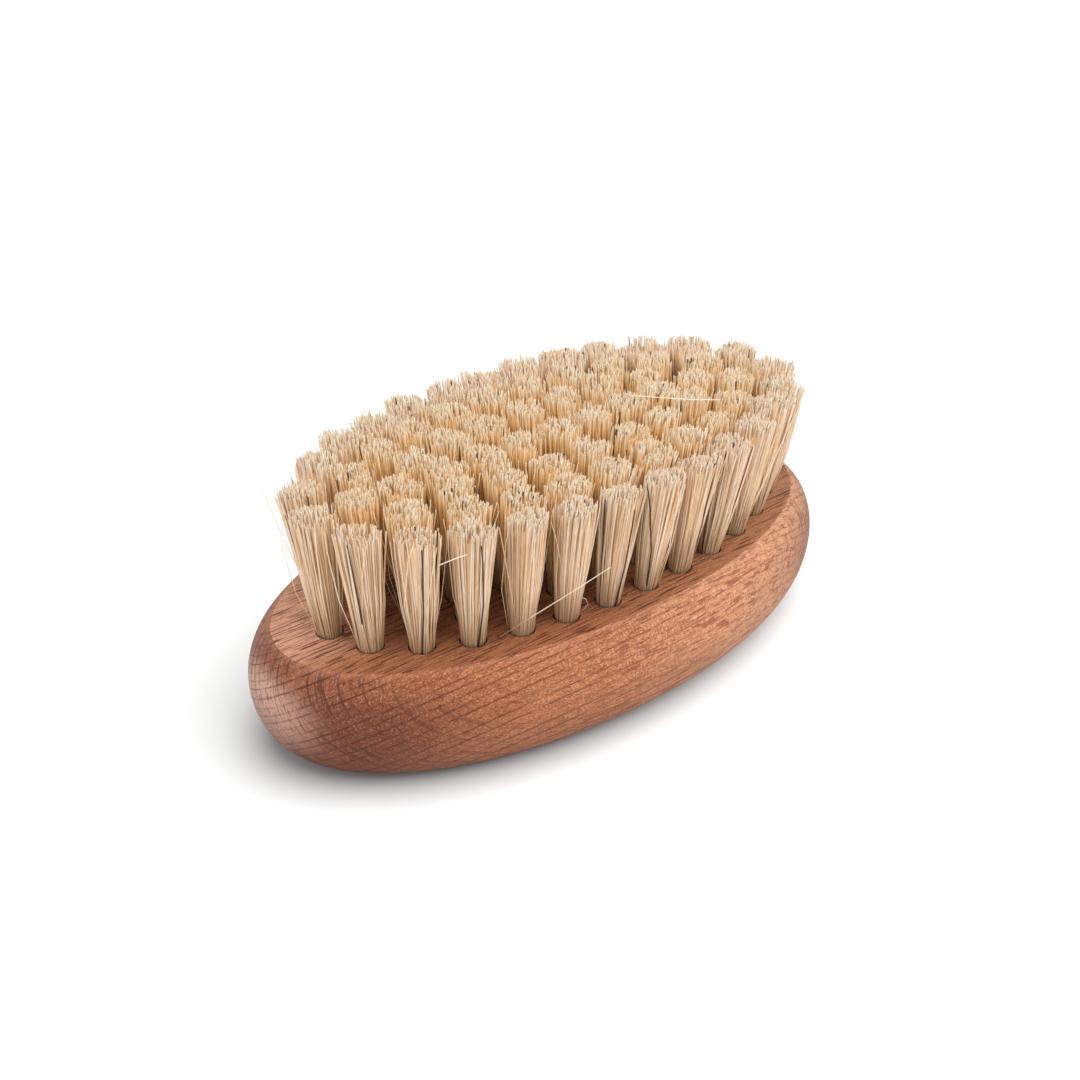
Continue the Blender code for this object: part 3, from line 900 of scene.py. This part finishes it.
def add_camera():
    """Looks at the brush from the left, in front and above."""
    azimuth, elevation, roll = map(math.radians,
                                   (CAMERA_AZIMUTH, CAMERA_ELEVATION, CAMERA_ROLL))
    back = Vector((math.sin(azimuth) * math.cos(elevation),
                   -math.cos(azimuth) * math.cos(elevation), math.sin(elevation)))
    level = Vector((math.cos(azimuth), math.sin(azimuth), 0.0))
    upright = back.cross(level)
    right = level * math.cos(roll) + upright * math.sin(roll)
    up = upright * math.cos(roll) - level * math.sin(roll)
    camera = place_object("camera", bpy.data.cameras.new("camera"))
    camera.data.sensor_width = SENSOR
    camera.data.lens = CAMERA_LENS
    camera.data.clip_start = CAMERA_NEAR
    turned = Matrix((right, up, back)).transposed().to_4x4()
    place = right * CAMERA_AIM[0] + up * CAMERA_AIM[1] + back * CAMERA_DISTANCE
    camera.matrix_world = Matrix.Translation(place) @ turned
    bpy.context.scene.camera = camera


def add_floor():
    """A pale floor that looks white but keeps the brush's shadow."""
    mesh = bpy.data.meshes.new("floor")
    corners = [(-1, -1), (1, -1), (1, 1), (-1, 1)]
    mesh.from_pydata([(x * FLOOR_HALF, y * FLOOR_HALF, 0.0) for x, y in corners], [],
                     [(0, 1, 2, 3)])
    floor = place_object("floor", mesh)
    paper = Finish("white_paper", Roughness=0.9, Specular_IOR_Level=0.0)
    sheet = paper.blend(paper.seen(), colour(*[FLOOR_GREY] * 3), colour(*[FLOOR_SEEN] * 3))
    mesh.materials.append(paper.feed(Base_Color=sheet))
    return floor


def add_light(name, place, width, strength, only=None):
    """A far soft light that shines from a place towards the brush, or on one object."""
    lamp = bpy.data.lights.new(name, "SUN")
    lamp.angle = math.radians(width)
    lamp.energy = strength
    light = place_object(name, lamp)
    light.matrix_world = (-Vector(place)).to_track_quat("-Z", "Y").to_matrix().to_4x4()
    if only:
        reached = bpy.data.collections.new(name + "_reach")
        reached.objects.link(only)
        light.light_linking.receiver_collection = reached


def add_world():
    """Even light from all round, which shows white behind the brush."""
    world = bpy.data.worlds.new("studio")
    bpy.context.scene.world = world
    studio = Tree(world)
    sky = studio.nodes["Background"]
    sky.inputs["Color"].default_value = colour(1.0, 1.0, 1.0)
    strength = studio.node("ShaderNodeMapRange", inputs={
        "Value": studio.seen(), "To Min": SKY_LIGHT, "To Max": SKY_SEEN})
    studio.links.new(strength.socket, sky.inputs["Strength"])


def main():
    bpy.context.scene.view_settings.view_transform = "Standard"
    add_camera()
    floor = add_floor()
    add_world()
    for light in LIGHTS:
        add_light(*light)
    add_light(*FLOOR_LIGHT, floor)

    outer, second, third, row = ring_places(0), ring_places(1), ring_places(2), row_places()
    add_block(np.vstack([outer, second, third, row]), beech_finish())
    bristle = bristle_finish()
    names = sorted(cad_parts)
    outer_fan = OUTER_FAN * (1.0 + FAN_SWING * (outer[:, 1] / RING_HALF_WIDTH
                                                + outer[:, 0] / RING_HALF_LENGTH))
    add_bristles("outer_bristles", outer, outer_fan, OUTER_SEED, bristle,
                 [name for name in names if name.startswith("outer_tuft")], LOOSE_HAIRS)
    add_bristles("second_bristles", second, INNER_FAN, SECOND_SEED, bristle,
                 [name for name in names if name.startswith("second_tuft")])
    add_bristles("inner_bristles", np.vstack([third, row]), INNER_FAN, INNER_SEED, bristle,
                 ["inner_tufts"])


main()
